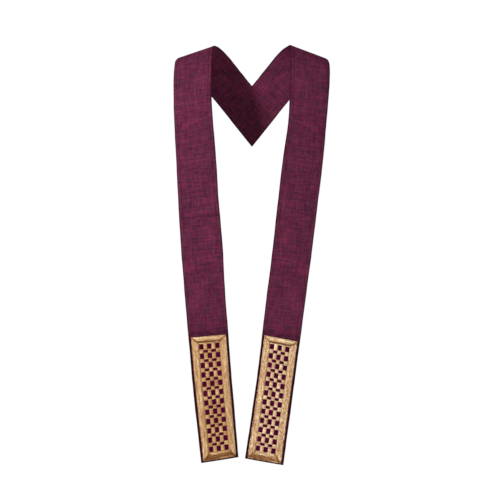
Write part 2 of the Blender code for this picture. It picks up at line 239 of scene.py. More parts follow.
# How uneven hand work is.
BAR_SHIFT = 0.37               # each lane is set off from the one before by this part of a stitch
LINE_SHIFT = 0.43
RIM_SHIFT = 0.3
SHIFT_SPREAD = 0.13
MARK_SPREAD = 0.09             # of a stitch's ends, as a part of its length
STITCH_LEAN = 0.05             # mm
SATIN_STRAY = 0.03             # mm, of a thread from its place
SATIN_BITE = 0.12              # mm, of its ends
BAR_HALVES = (0.50, 0.60)      # half a thread's width, as a part of the pitch
BAR_THICKNESS = (0.80, 1.15)
SATIN_THICKNESS = (0.85, 1.10)

# The bars of the frame in order: bottom, outer side, top, inner side. Each crest's place is a part
# # of the bar's width from the frame's outer edge. Each run of tones goes from that edge inwards
# and
# # is painted shade and highlight across the bar: darker under the top bar's roll and on the bottom
# # bar's lower half, where they turn from the light, and lighter on the lit slopes.
BAR_WIDTHS = (BOTTOM_BAR, SIDE_BAR, TOP_BAR, SIDE_BAR)
BAR_RISES = (BOTTOM_BAR_RISE, SIDE_BAR_RISE, TOP_BAR_RISE, SIDE_BAR_RISE)
BAR_CRESTS = (0.84, 0.46, 0.42, 0.46)
BAR_SHADE_TONES = {
    "right": (
        ((0.00, -0.10), (0.20, -0.35), (0.75, -0.45), (0.95, 0.30)),
        ((0.00, -0.15), (0.15, 0.05), (0.85, 0.05), (1.00, -0.15)),
        ((0.00, 0.00), (0.35, 0.15), (0.65, -0.10), (0.95, -0.70)),
        ((0.00, 0.00), (0.20, 0.15), (0.80, -0.05), (1.00, 0.10)),
    ),
    "left": (
        ((0.00, -0.10), (0.20, -0.50), (0.65, -0.35), (0.90, 0.10)),
        ((0.00, -0.20), (0.35, 0.15), (0.60, -0.10), (0.90, 0.10)),
        ((0.00, 0.10), (0.35, 0.20), (0.65, -0.10), (0.95, -0.75)),
        ((0.00, -0.10), (0.20, 0.00), (0.80, 0.05), (1.00, -0.25)),
    ),
}
BAR_POWERS = (2.2, 0.7)        # how round a bar is at its crest, and at its feet
# Near a mitre, as parts of a bar's width.
MITRE_BLEND = 0.6
MITRE_WIDTH = 0.07
MITRE_START = 0.15

# Mean tone of each kind of thread, and of the sheets under them.
TONES = {"bar": 0.50, "padding": 0.30, "pillow": 0.55, "block": 0.50, "line": 0.52, "rim": 0.45,
         "ground": 0.32}
STREAK = (2.5 * MM, 14.0 * MM)    # size of the pale and dark streaks, across a bar and along it
STREAK_TONE = 0.10
LANE_TONE = 0.07               # how much tone differs from lane to lane on the bars
STITCH_TONES = {"right": 0.12, "left": 0.18}     # and from stitch to stitch
CELL_TONE = 0.05               # from cell to cell of the check
SATIN_TONE = 0.13              # and from thread to thread
RIM_TONE = 0.10
MITRE_TONE = -0.62             # stitches that end in a mitre turn from the light
MITRE_REACH = 2.6 * MM

# The crumpled valley that runs along each bottom bar: mean place across the bar, then two waves of
# length in mm, swing and phase.
BOTTOM_VALLEYS = {
    "right": (0.46, (52.0, 0.15, 0.6), (17.0, 0.07, 2.0)),
    "left": (0.46, (61.0, 0.14, 3.4), (21.0, 0.08, 0.7)),
}
VALLEY_DEPTH = 1.0 * MM
VALLEY_WIDTH = 0.13            # as a part of the bar's
VALLEY_ENDS = (0.05, 0.5)      # where it fades in, past a mitre
# Painted shade along the crumpled valley, and painted highlight on its flank beside it.
VALLEY_SHADE_TONES = ((0.06, -1.10), (0.18, 0.26))    # width as a part of the bar's, tone
VALLEY_FADE = 10.0 * MM        # those fade in over this length from a mitre

# ---- the band's outer face
SMALL_STEP = 1.0 * MM          # along the band, for slopes
SMALL_SHARE = 0.01             # and across it
RUN_SAMPLES = 700              # places at which the length of cloth is known


def unit(vectors):
    return vectors / np.linalg.norm(vectors, axis=-1, keepdims=True)


def blend(first, second, share):
    """first where share is 0, and second where it is 1."""
    return first * (1.0 - share) + second * share


def ease(low, high, values):
    """A smooth step from 0 at low to 1 at high."""
    share = np.clip((values - low) / (high - low), 0.0, 1.0)
    return share * share * (3.0 - 2.0 * share)


def hump(distance, width):
    """1 at no distance, and 0 well beyond the width."""
    return np.exp(-(distance / width) ** 2)


class WornBand:
    """The outer face of one band, as in the solids: a smooth surface through its rows.

    along is measured up from the hem, midway between the edges, in metres. across goes from 0 at
    the inner edge to 1 at the outer edge. Every call takes arrays, works towards +X, and leaves
    the mirroring to make_piece.
    """

    def __init__(self, name):
        self.name = name
        self.side, front_rows = SIDES[name]
        self.values = np.array(front_rows + BACK) * MM
        middle = (self.values[:, 0:3] + self.values[:, 3:6]) / 2.0
        self.along = self.run_of(middle)
        lengths = np.linalg.norm(np.diff(middle, axis=0), axis=1)
        self.length = self.along[-1]
        chords = np.diff(self.values, axis=0) / lengths[:, None]
        weight = lengths[1:, None] / (lengths[1:, None] + lengths[:-1, None])
        inside = blend(chords[1:], chords[:-1], weight)
        self.slopes = np.concatenate([chords[:1], inside, chords[-1:]])
        self.samples = np.linspace(0.0, self.length, RUN_SAMPLES)
        edges = self.rows(self.samples)
        self.inner_run = self.run_of(edges[:, 0:3])
        self.outer_run = self.run_of(edges[:, 3:6])

    def run_of(self, points):
        """Length of the path through the points, up to each of them."""
        return np.concatenate([[0.0], np.cumsum(np.linalg.norm(np.diff(points, axis=0), axis=1))])

    def rows(self, along):
        """Edge points, crown and droop at places along the band, by a smooth cubic between rows."""
        start = np.clip(np.searchsorted(self.along, along) - 1, 0, len(self.along) - 2)
        span = (self.along[start + 1] - self.along[start])[:, None]
        t = (along - self.along[start])[:, None] / span
        first = (1.0 + 2.0 * t) * (1.0 - t) ** 2 * self.values[start]
        first = first + t * (1.0 - t) ** 2 * span * self.slopes[start]
        last = t * t * (3.0 - 2.0 * t) * self.values[start + 1]
        return first + last - t * t * (1.0 - t) * span * self.slopes[start + 1]

    def line(self, along, across):
        row = self.rows(along)
        return row[:, 0:3] + (row[:, 3:6] - row[:, 0:3]) * across[:, None]

    def beside(self, along):
        """Places a small step below and above, on the band."""
        return np.maximum(along - SMALL_STEP, 0.0), np.minimum(along + SMALL_STEP, self.length)

    def outward(self, along, across):
        row = self.rows(along)
        low, high = self.beside(along)
        upward = self.line(high, across) - self.line(low, across)
        return unit(np.cross(row[:, 3:6] - row[:, 0:3], upward))

    def face(self, along, across):
        row = self.rows(along)
        turning = (across - DROOP_START) / (1.0 - DROOP_START)
        edge = np.where(across <= DROOP_START, across / DROOP_START, 1.0 - turning ** 2)
        rise = row[:, 6] * 4.0 * across * (1.0 - across) + row[:, 7] * edge
        return self.line(along, across) + self.outward(along, across) * rise[:, None]

    def normal(self, along, across):
        left = self.face(along, np.maximum(across - SMALL_SHARE, 0.0))
        right = self.face(along, np.minimum(across + SMALL_SHARE, 1.0))
        low, high = self.beside(along)
        return unit(np.cross(right - left, self.face(high, across) - self.face(low, across)))

    def raised(self, along, across, height):
        """Points this far off the outer face. A negative height is towards the wearer."""
        return self.face(along, across) + self.normal(along, across) * height[:, None]

    def cloth_run(self, along, across):
        """Length of cloth from the hem, which differs from edge to edge where the band fans out."""
        inner = np.interp(along, self.samples, self.inner_run)
        outer = np.interp(along, self.samples, self.outer_run)
        return blend(inner, outer, across)


# ---- meshes
def add_object(name, data, place=(0.0, 0.0, 0.0)):
    made = bpy.data.objects.new(name, data)
    made.location = place
    bpy.context.scene.collection.objects.link(made)
    return made


def make_piece(name, band, points, faces, material, corner_maps=None, values=None):
    """A mesh mirrored to its side. corner_maps are UV maps for the faces' corners, in order, and
    values are numbers for the points, by name."""
    mesh = bpy.data.meshes.new(name)
    mesh.from_pydata(points * np.array([band.side, 1.0, 1.0]), [], faces)
    for layer, corners in (corner_maps or {}).items():
        made = mesh.uv_layers.new(name=layer)
        made.uv.foreach_set("vector", np.asarray(corners, dtype=np.float32).ravel())
    for attribute, numbers in (values or {}).items():
        made = mesh.attributes.new(attribute, "FLOAT", "POINT")
        made.data.foreach_set("value", np.asarray(numbers, dtype=np.float32))
    if band.side < 0.0:
        mesh.flip_normals()
    mesh.materials.append(material)
    mesh.shade_smooth()
    piece = add_object(name, mesh)
    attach(piece, "root")
    return piece


def ring_faces(ring_count, ring_size, closed=False):
    """Side faces between rings of points that run round the same way."""
    last = ring_count if closed else ring_count - 1
    ring = np.arange(last)[:, None]
    place = np.arange(ring_size)[None, :]
    here = ring * ring_size
    there = ((ring + 1) % ring_count) * ring_size
    following = (place + 1) % ring_size
    quads = np.stack([here + place, here + following, there + following, there + place], axis=-1)
    return quads.reshape(-1, 4).tolist()


def quad_corners(spans, sides):
    """Places of the corners of the quads on a tube: sides round it, and spans along it."""
    side, span = np.meshgrid(np.arange(sides), np.arange(spans))
    corners = [(side + right, span + far) for right, far in ((0, 0), (0, 1), (1, 1), (1, 0))]
    return np.array(corners).transpose(2, 3, 0, 1)


# ---- the cloth
def creases_of(band, along, out):
    """Height of the soft creases in metres, and the painted shade in the sharp ones, from 0 to
    about 1.
    """
    height, dark = np.zeros_like(along), np.zeros_like(along)
    for middle_along, middle_out, length, width, angle, depth in CREASES[band.name]:
        right, up = out / MM - middle_out, along / MM - middle_along
        way = math.cos(math.radians(angle)), math.sin(math.radians(angle))
        forward = right * way[0] + up * way[1]
        sideways = up * way[0] - right * way[1]
        fade = np.exp(-(2.0 * forward / length) ** 4)
        height += depth * MM * (hump(sideways, width) * fade)
        if width < SHARP_CREASE:
            # Painted shade in the sharp creases.
            dark -= depth * (hump(sideways, 2.0 * width) * fade)
    above_panel = ease(PANEL_TOP + 1.0 * MM, PANEL_TOP + CALM_ABOVE_PANEL, along)
    return height * above_panel, dark * above_panel


def wander(along, phase):
    """A slow uneven wave between about -1 and 1 along a band's edge."""
    total = np.zeros_like(along)
    for length, share, start in WANDER_WAVES:
        total += share * np.sin(2.0 * np.pi * along / (length * MM) + start + phase)
    return total


def cloth_stations(band):
    """Places of the shell's sections along a band, close together at its ends and sharp creases."""
    sharp = [row[0] * MM for row in CREASES[band.name] if row[3] < SHARP_CREASE]
    rounding = [step * MM for step in EDGE_STEPS[:END_STEPS]]
    places = list(rounding)
    while places[-1] < band.length - rounding[-1] - STATION_STEP:
        near = any(abs(places[-1] - place) < FINE_REACH for place in sharp)
        places.append(places[-1] + (FINE_STEP if near else STATION_STEP))
    places += [band.length - step for step in rounding[::-1]]
    return np.array(places)


def cloth_lie(band, along, out):
    """How the cloth lies on the band's face: its place across with the edges astray, the heights
    of its two sides, and the painted shade in its sharp creases."""
    radius = CLOTH_WALL / 2.0
    from_edge = np.minimum(out, BAND_WIDTH - out)
    from_seam = band.length - along
    depth = np.clip(np.minimum(from_edge, np.minimum(along, from_seam)) / radius, 0.0, 1.0)
    half_wall = np.maximum(radius * np.sqrt(1.0 - (1.0 - depth) ** 2), THINNEST_HALF)
    blunt = SEAM_HALF * radius * ease(0.0, 1.0, from_edge / radius)
    half_wall = np.where(from_seam < SEAM_REACH, np.maximum(half_wall, blunt), half_wall)

    # The second number of each wander is a phase of its own.
    creases, dark = creases_of(band, along, out)
    step = 1.0 - ease(TURNED_EDGE + STEP_REACH[0], TURNED_EDGE + STEP_REACH[1], from_edge)
    groove = hump(from_edge - TURNED_EDGE - GROOVE_PLACE, GROOVE_WIDTH)
    uneven = 1.0 - STEP_VARIES + STEP_VARIES * wander(along, 1.3)
    folded = (TURNED_EDGE_RISE * step - EDGE_GROOVE * groove) * uneven
    inner = 1.0 - out / BAND_WIDTH
    outer = 1.0 - inner
    flutter = wander(along, 2.2) * inner ** 4 + wander(along, 5.0) * outer ** 4
    flutter *= EDGE_FLUTTER * ease(PANEL_TOP, PANEL_TOP + FLUTTER_ABOVE_PANEL, along)
    flutter *= ease(0.0, FLUTTER_AT_SEAM, from_seam)
    strayed = wander(along, 0.2) * inner + wander(along, 3.6) * outer
    strayed *= EDGE_WANDER * ease(0.0, WANDER_AT_SEAM, from_seam)
    lie = creases + flutter - radius
    upper = lie + half_wall + folded
    under = lie - half_wall + UNDER_CREASE * creases
    return (out + strayed) / BAND_WIDTH, upper, under, dark


def make_cloth(band, material):
    """The cloth shell of one band, with rounded edges, a turned-in step and its soft creases."""
    edge = np.array(EDGE_STEPS) * MM
    middle = np.linspace(edge[-1], BAND_WIDTH - edge[-1], MIDDLE_STEPS + 2)[1:-1]
    out_steps = np.concatenate([edge, middle, BAND_WIDTH - edge[::-1]])
    places = cloth_stations(band)
    rows, wide = len(places), len(out_steps)
    along, out = [grid.ravel() for grid in np.meshgrid(places, out_steps, indexing="ij")]
    across, *heights, dark = cloth_lie(band, along, out)
    upper, under = [band.raised(along, across, height).reshape(rows, wide, 3) for height in heights]
    rims = (upper[:, [0, -1]] + under[:, [0, -1]]) / 2.0
    ring = np.concatenate([rims[:, :1], upper[:, 1:-1], rims[:, 1:], under[:, -2:0:-1]], axis=1)
    ring[-1, :, 0] = -SEAM_LAP
    size = ring.shape[1]
    faces = ring_faces(rows, size)
    faces += end_strips(0, wide, True) + end_strips((rows - 1) * size, wide, False)

    round_steps = np.tile(np.concatenate([out_steps, out_steps[-2:0:-1]]), rows)
    run = band.cloth_run(np.repeat(places, size), round_steps / BAND_WIDTH)
    corners = np.concatenate([np.array(face) for face in faces])
    weave = np.stack([round_steps, run], axis=1)[corners]
    maps = {"weave": weave, "OFBake": bake_strips(faces, rows, size)}
    values = {
        "outside": np.tile((np.arange(size) < wide) * 1.0, rows),
        "crease_painted_shade": np.pad(dark.reshape(rows, wide), ((0, 0), (0, size - wide))).ravel(),
    }
    piece = make_piece("band_cloth_" + band.name, band, ring.reshape(-1, 3), faces, material,
                       maps, values)
    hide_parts("band_" + band.name)
    return piece


def end_strips(first, wide, flip):
    """Faces that close one end of the cloth wall, from its inner edge to its outer one."""
    size = 2 * (wide - 1)
    strips = [(first, first + 1, first + size - 1)]
    for place in range(1, wide - 2):
        over, under = first + place, first + size - place
        strips.append((over, over + 1, under - 1, under))
    strips.append((first + wide - 2, first + wide - 1, first + wide))
    return [tuple(reversed(strip)) for strip in strips] if flip else strips


def bake_strips(faces, rows, size, strips=3):
    """A map of the shell cut into strips side by side, with its two ends along the top edge."""
    places = quad_corners(rows - 1, size)[:, :, [0, 3, 2, 1]]
    strip = places[:, :, :1, 1] * strips // (rows - 1)
    up = np.minimum(places[..., 1] * strips / (rows - 1) - strip, 1.0)
    # Each strip fills 98 % of its width, and the lower part of the map's height.
    right = (strip + places[..., 0] / size * 0.98 + 0.01) / strips
    corners = np.stack([right, up * 0.95 + 0.005], axis=-1)
    ends = []
    caps = faces[(rows - 1) * size:]
    share = 1.0 / len(caps)
    for place, face in enumerate(caps):
        for turn in range(len(face)):
            angle = 2.0 * np.pi * turn / len(face)
            right = (place + 0.5 + 0.3 * math.cos(angle)) * share
            ends.append((right, 0.98 + 0.01 * math.sin(angle)))
    return np.concatenate([corners.reshape(-1, 2), np.array(ends)])


# ---- the embroidery's surfaces
def bar_profile(share, crest):
    """Rounded height of a padded bar, from 0 at its feet to 1 at its crest."""
    share = np.clip(share, 0.0, 1.0)
    off_crest = np.where(share < crest, (crest - share) / crest, (share - crest) / (1.0 - crest))
    return np.maximum(1.0 - off_crest ** BAR_POWERS[0], 0.0) ** BAR_POWERS[1]


def valley_place(band, out):
    """Where the crumpled valley runs across the bottom bar, as a part of the bar's width."""
    place, *waves = BOTTOM_VALLEYS[band.name]
    for length, swing, phase in waves:
        place = place + swing * np.sin(2.0 * np.pi * out / (length * MM) + phase)
    return place


def frame_height(band, out, along):
    """Height of the frame's padding over the cloth: padded bars, mitred where they meet."""
    from_feet = (along - HEM_MARGIN, BAND_WIDTH - SIDE_MARGIN - out, PANEL_TOP - along,
                 out - SIDE_MARGIN)
    shares = np.stack([distance / width for distance, width in zip(from_feet, BAR_WIDTHS)])
    order = np.argsort(shares, axis=0)
    nearest = np.take_along_axis(shares, order[:1], axis=0)[0]
    second = np.take_along_axis(shares, order[1:2], axis=0)[0]
    own, other = np.array(BAR_RISES)[order[0]], np.array(BAR_RISES)[order[1]]
    past_mitre = second - nearest
    rise = own + (other - own) * 0.5 * (1.0 - ease(0.0, MITRE_BLEND, past_mitre))
    height = rise * bar_profile(nearest, np.array(BAR_CRESTS)[order[0]])
    height -= MITRE_GROOVE * hump(past_mitre, MITRE_WIDTH) * ease(0.0, MITRE_START, nearest)
    valley = VALLEY_DEPTH * hump(shares[0] - valley_place(band, out), VALLEY_WIDTH)
    return height - valley * ((order[0] == 0) * ease(*VALLEY_ENDS, past_mitre))


def check_lines(name):
    """Grid lines of one band's check: out from its inner edge, and up from its hem."""
    left, low = SIDE_MARGIN + SIDE_BAR + SEAM_GAP, HEM_MARGIN + BOTTOM_BAR + SEAM_GAP
    right, high = BAND_WIDTH - left, PANEL_TOP - TOP_BAR - SEAM_GAP
    width = LARGE_COLUMNS * LARGE_BLOCK[0] + (LARGE_COLUMNS - 1) * COLUMN_GAP
    edge = (left + right - width) / 2.0
    columns = [left]
    for _ in range(LARGE_COLUMNS):
        columns += [edge, edge + LARGE_BLOCK[0]]
        edge += LARGE_BLOCK[0] + COLUMN_GAP
    line = (ROW_PITCH - LARGE_BLOCK[1] - SMALL_BLOCK_LENGTH) / 2.0
    rows = [low]
    for number in range(LARGE_ROWS):
        start = low + FIELD_FOOT[name] + number * ROW_PITCH
        small = start + LARGE_BLOCK[1] + line
        rows += [start, start + LARGE_BLOCK[1], small, small + SMALL_BLOCK_LENGTH]
    return columns + [right], rows[:-2] + [high]


def cell_kind(column, row):
    if row % 2 == 0 or column in (0, 2 * LARGE_COLUMNS):
        return "plain"
    in_large_row, in_large_column = row % 4 == 1, column % 2 == 1
    return "block" if in_large_row == in_large_column else "pillow"


def line_out(columns, line, small):
    """Place of one grid line that runs along the band, which bulges round the small blocks."""
    if not small or line < 2 or line > 2 * LARGE_COLUMNS - 1:
        return columns[line]
    return columns[line] + (SMALL_SPREAD if line % 2 else -SMALL_SPREAD)


# ---- stitches
def sew(name, band, stitches, height, material):
    """One joined mesh of threads. stitches has a row for each one: out and along where it starts,
    out and along where it ends, half its width, its thickness and its tone. height gives the
    surface under the threads at places out and along."""
    table = np.array(stitches)
    start, end = table[:, 0:2], table[:, 2:4]
    half_width, thickness, tone = table[:, 4], table[:, 5], table[:, 6]
    lengths = np.linalg.norm(end - start, axis=1)
    forward = (end - start) / lengths[:, None]
    beside = np.stack([-forward[:, 1], forward[:, 0]], axis=1)
    run = np.array(STITCH_RUN)
    section = np.array(THREAD_SECTION)
    centre = start[:, None] + (end - start)[:, None] * run[None, :, 0, None]
    offset = half_width[:, None, None] * run[None, :, 1, None] * section[None, None, :, 0]
    spots = centre[:, :, None] + beside[:, None, None] * offset[..., None]
    out, along = spots[..., 0], spots[..., 1]
    raised = height(out, along) + NEEDLE_DIP * run[None, :, 2, None]
    raised = raised + thickness[:, None, None] * run[None, :, 1, None] * section[None, None, :, 1]
    points = band.raised(along.ravel(), out.ravel() / BAND_WIDTH, raised.ravel())

    count, rings, sides = len(table), len(run), len(section)
    first, side = np.arange(count)[:, None] * rings * sides, np.arange(sides)
    quads = first[:, :, None] + np.array(ring_faces(rings, sides))[:, [0, 3, 2, 1]]
    faces = quads.reshape(-1, 4).tolist()
    faces += (first + side).tolist() + (first + rings * sides - 1 - side).tolist()
    maps = {"thread": thread_map(lengths, run, sides), "OFBake": stitch_cells(count, rings, sides)}
    return make_piece(name, band, points, faces, material, maps,
                      {"tone": np.repeat(tone, rings * sides)})


def thread_map(lengths, run, sides):
    """Corner places on each thread: turns round it, and metres along it."""
    places = quad_corners(len(run) - 1, sides)
    corners = np.empty((len(lengths), *places.shape))
    corners[..., 0] = places[..., 0] / sides
    corners[..., 1] = lengths[:, None, None, None] * run[places[..., 1], 0]
    caps = np.zeros((2, len(lengths), sides, 2))
    caps[1, :, :, 1] = lengths[:, None]
    caps[..., 0] = np.arange(sides) / sides
    return np.concatenate([corners.reshape(-1, 2), caps.reshape(-1, 2)])


def stitch_cells(count, rings, sides):
    """A map with a square cell for each stitch: its unrolled thread, and its two ends above."""
    across = math.ceil(math.sqrt(count))
    number = np.arange(count)
    cell = np.stack([number % across, number // across], axis=1) / across
    # From here on the numbers are parts of a cell.
    places = 0.05 + np.array([0.9, 0.75]) * quad_corners(rings - 1, sides) / (sides, rings - 1)
    corners = places / across + cell[:, None, None, None]
    turns = 2.0 * np.pi * np.arange(sides) / sides
    round_cap = np.stack([np.cos(turns), np.sin(turns)], axis=1) * 0.06
    caps = []
    for middle, way in ((0.3, 1), (0.7, -1)):
        spot = (np.array([middle, 0.89]) + round_cap[::way]) / across
        caps.append((cell[:, None] + spot).reshape(-1, 2))
    return np.concatenate([corners.reshape(-1, 2)] + caps)


def brick_lane(start, end, stitch, shift, draws):
    """Ends of the stitches in one lane: about equal lengths, set off from the lane beside it."""
    length = np.linalg.norm(end - start)
    count = int(length / stitch) + 3
    marks = (np.arange(count) - 1 + shift + draws.normal(0.0, MARK_SPREAD, count)) * stitch
    marks = np.clip(marks, 0.0, length)
    way = (end - start) / length
    return [(start + way * low, start + way * high)
            for low, high in zip(marks[:-1], marks[1:]) if high - low > SHORTEST_STITCH]


def streak_field(out_size, along_size, draws):
    """A smooth random number, about -1 to 1, at a place on the band."""
    size = np.array([out_size, along_size])
    columns, rows = int(BAND_WIDTH / out_size) + 3, int(FRAME_LENGTH / along_size) + 6
    grid = draws.normal(0.0, 1.0, (columns, rows))

    def streak(spot):
        column, row = spot / size
        left, low = int(column), int(row)
        lower, upper = blend(grid[left, low:low + 2], grid[left + 1, low:low + 2], column - left)
        return blend(lower, upper, row - low)

    return streak


def frame_bars():
    """Four corners of each bar: where it starts and ends, at the frame's outer edge and then at
    its inner edge."""
    left, right, low, high = SIDE_MARGIN, BAND_WIDTH - SIDE_MARGIN, HEM_MARGIN, PANEL_TOP
    outer = np.array([(left, low), (right, low), (right, high), (left, high)])
    inner = outer + np.array([(SIDE_BAR, BOTTOM_BAR), (-SIDE_BAR, BOTTOM_BAR),
                              (-SIDE_BAR, -TOP_BAR), (SIDE_BAR, -TOP_BAR)])
    return list(zip(outer, np.roll(outer, -1, axis=0), inner, np.roll(inner, -1, axis=0)))


def make_padding(band, material):
    """The frame's padding, in sections from its outer edge to its inner one."""
    feet = []
    for (start, end, inner_start, inner_end), steps in zip(frame_bars(), PADDING_STEPS):
        parts = [step / steps for step in range(steps)]
        feet += [(blend(start, end, part), blend(inner_start, inner_end, part)) for part in parts]
    feet = np.array(feet)
    shares = 0.5 - 0.5 * np.cos(np.linspace(0.0, np.pi, PADDING_POINTS))
    spots = blend(feet[:, 0, None], feet[:, 1, None], shares[None, :, None])
    top = np.maximum(frame_height(band, spots[..., 0], spots[..., 1]) - PADDING_DROP, 0.0)
    under = spots[:, ::-2]
    spots = np.concatenate([spots, under], axis=1)
    height = np.concatenate([top, np.full(under.shape[:2], -SUNK)], axis=1)
    points = band.raised(spots[..., 1].ravel(), spots[..., 0].ravel() / BAND_WIDTH, height.ravel())
    faces = [face[::-1] for face in ring_faces(len(feet), spots.shape[1], closed=True)]
    padding = make_piece("frame_padding_" + band.name, band, points, faces, material,
                         values={"tone": np.full(len(points), TONES["padding"])})
    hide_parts("frame_" + band.name)
    return padding


def bar_stitches(band, draws):
    """Rows for sew: the lanes of thread that run along each bar of the frame."""
    stitches = []
    level_streak = streak_field(STREAK[1], STREAK[0], draws)
    upright_streak = streak_field(STREAK[0], STREAK[1], draws)
    for bar, (outer_start, outer_end, inner_start, inner_end) in enumerate(frame_bars()):
        streak = upright_streak if bar % 2 else level_streak
        lanes = round(BAR_WIDTHS[bar] / LANE_PITCH)
        pitch = BAR_WIDTHS[bar] / lanes
        for lane in range(lanes):
            share = (lane + 0.5) / lanes
            start = blend(outer_start, inner_start, share)
            end = blend(outer_end, inner_end, share)
            shift = (lane * BAR_SHIFT + SHIFT_SPREAD * draws.random()) % 1.0
            lane_tone = draws.normal(0.0, LANE_TONE)
            # Painted shade and highlight across the bar, as the light from above and left falls on
            # it.
            bar_shade_tone = np.interp(share, *zip(*BAR_SHADE_TONES[band.name][bar]))
            for first, last in brick_lane(start, end, BAR_STITCH, shift, draws):
                lean = draws.normal(0.0, STITCH_LEAN, 2) * MM
                middle = (first + last) / 2.0
                to_mitre = min(np.linalg.norm(middle - start), np.linalg.norm(middle - end))
                tone = TONES["bar"] + bar_shade_tone + lane_tone
                tone += draws.normal(0.0, STITCH_TONES[band.name])
                tone += STREAK_TONE * streak(middle) + MITRE_TONE * hump(to_mitre, MITRE_REACH)
                if bar == 0:
                    # Painted shade in the bottom bar's valley, and painted highlight beside it.
                    off_valley = share - valley_place(band, middle[0])
                    for width, change in VALLEY_SHADE_TONES:
                        tone += change * hump(off_valley, width) * ease(0.0, VALLEY_FADE, to_mitre)
                half = pitch * draws.uniform(*BAR_HALVES)
                thick = BAR_THREAD * draws.uniform(*BAR_THICKNESS)
                stitches.append((*(first + lean), *(last - lean), half, thick, tone))
    return stitches


def make_frame(band, material, draws):
    """The padded gold frame: its padding, and the threads over it."""
    padding = make_padding(band, material)
    threads = sew("frame_stitches_" + band.name, band, bar_stitches(band, draws),
                  lambda out, along: frame_height(band, out, along) - PADDING_DROP - GOLD_SUNK,
                  material)
    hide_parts("frame_" + band.name)
    return [padding, threads]


def make_ground(band, material):
    """The gold ground of the check: a thin sheet with an opening at each purple block."""
    columns, rows = check_lines(band.name)
    wide, tall = len(columns), len(rows)
    spots = []
    for line, place in enumerate(rows):
        small = 0 < line < tall - 1 and line % 4 in (0, 3)
        spots += [(line_out(columns, column, small), place) for column in range(wide)]
    out, along = np.array(spots).T
    points = np.concatenate([band.raised(along, out / BAND_WIDTH, np.full(len(out), height))
                             for height in (-SUNK, GROUND_HEIGHT - SHEET_SUNK)])
    gold = [(column, row) for row in range(tall - 1) for column in range(wide - 1)
            if cell_kind(column, row) != "block"]
    faces = []
    for column, row in gold:
        first = row * wide + column
        under = (first, first + 1, first + 1 + wide, first + wide)
        upper = tuple(corner + wide * tall for corner in under)
        faces += [under[::-1], upper]
        for side, (right, up) in enumerate(((0, -1), (1, 0), (0, 1), (-1, 0))):
            if (column + right, row + up) not in gold:
                end = (side + 1) % 4
                faces.append((under[side], under[end], upper[end], upper[side]))
    ground = make_piece("check_ground_" + band.name, band, points, faces, material,
                        values={"tone": np.full(len(points), TONES["ground"])})
    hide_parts("check_" + band.name)
    return ground


def satin(box, kind, draws):
    """Threads side by side over one cell, along the band in a block and across it in a pillow.
    box is its low and high sides, out and then along."""
    low_out, high_out, low_along, high_along = box
    upright = kind == "block"
    span = (high_out - low_out) if upright else (high_along - low_along)
    count = max(round(span / SATIN_PITCH), 2)
    step = span / count
    cell_tone = draws.normal(0.0, CELL_TONE)
    made = []
    for number in range(count):
        place = (number + 0.5) * step + draws.normal(0.0, SATIN_STRAY) * MM
        bite = draws.normal(0.0, SATIN_BITE, 2) * MM
        if upright:
            ends = (low_out + place, low_along + bite[0], low_out + place, high_along + bite[1])
        else:
            ends = (low_out + bite[0], low_along + place, high_out + bite[1], low_along + place)
        tone = TONES[kind] + cell_tone + draws.normal(0.0, SATIN_TONE)
        thick = SATIN_THREAD * draws.uniform(*SATIN_THICKNESS)
        made.append((*ends, step * SATIN_HALF, thick, tone))
    return made


def crowned(boxes, base, crown):
    """Height over satin cells that are fullest in the middle. One box for each stitch."""
    low_out, high_out, low_along, high_along = np.array(boxes).T[:, :, None, None]

    def height(out, along):
        side = (out - (low_out + high_out) / 2.0) / (high_out - low_out) * 2.0
        end = (along - (low_along + high_along) / 2.0) / (high_along - low_along) * 2.0
        full = np.clip(1.0 - side ** 4, 0.0, 1.0) * np.clip(1.0 - end ** 4, 0.0, 1.0)
        return base + crown * np.sqrt(full)

    return height


def thin_line(start, end, shift, half_width, kind, spread, draws):
    """Rows for sew: gold stitches end to end."""
    lane = brick_lane(np.array(start), np.array(end), LINE_STITCH, shift, draws)
    return [(*first, *last, half_width, SATIN_THREAD, TONES[kind] + draws.normal(0.0, spread))
            for first, last in lane]


def check_stitches(name, draws):
    """Rows for sew: the thin gold rows, and the satin of each kind of cell with its boxes."""
    columns, rows = check_lines(name)
    lines = []
    cells = {"pillow": [], "block": []}
    for row, (low, high) in enumerate(zip(rows[:-1], rows[1:])):
        if cell_kind(1, row) == "plain":
            lanes = max(round((high - low) / LINE_PITCH), 2)
            pitch = (high - low) / lanes
            for lane in range(lanes):
                place = low + (lane + 0.5) * pitch
                lines += thin_line((columns[0], place), (columns[-1], place),
                                   (lane * LINE_SHIFT) % 1.0, pitch * SATIN_HALF, "line",
                                   SATIN_TONE, draws)
            continue
        lefts = [line_out(columns, line, row % 4 == 3) for line in range(len(columns))]
        for column in range(1, len(columns) - 2):
            kind = cell_kind(column, row)
            box = (lefts[column], lefts[column + 1], low, high)
            cells[kind] += [(stitch, box) for stitch in satin(box, kind, draws)]
    for place in (columns[0] + RIM_INSET, columns[-1] - RIM_INSET):
        lines += thin_line((place, rows[0]), (place, rows[-1]), RIM_SHIFT, RIM_HALF, "rim",
                           RIM_TONE, draws)
    return lines, cells


def make_check(band, gold, purple, draws):
    """The check: gold satin pillows, thin gold rows between them, and purple satin blocks."""
    ground = make_ground(band, gold)
    lines, cells = check_stitches(band.name, draws)
    over_ground = GROUND_HEIGHT - GOLD_SUNK
    pillows, pillow_boxes = zip(*cells["pillow"])
    blocks, block_boxes = zip(*cells["block"])
    return [
        ground,
        sew("check_pillows_" + band.name, band, pillows,
            crowned(pillow_boxes, over_ground, PILLOW_CROWN), gold),
        sew("check_lines_" + band.name, band, lines,
            lambda out, along: np.full_like(out, over_ground + LINE_LIFT), gold),
        sew("check_blocks_" + band.name, band, blocks,
            crowned(block_boxes, BLOCK_HEIGHT - SHEET_SUNK, BLOCK_CROWN), purple),
    ]


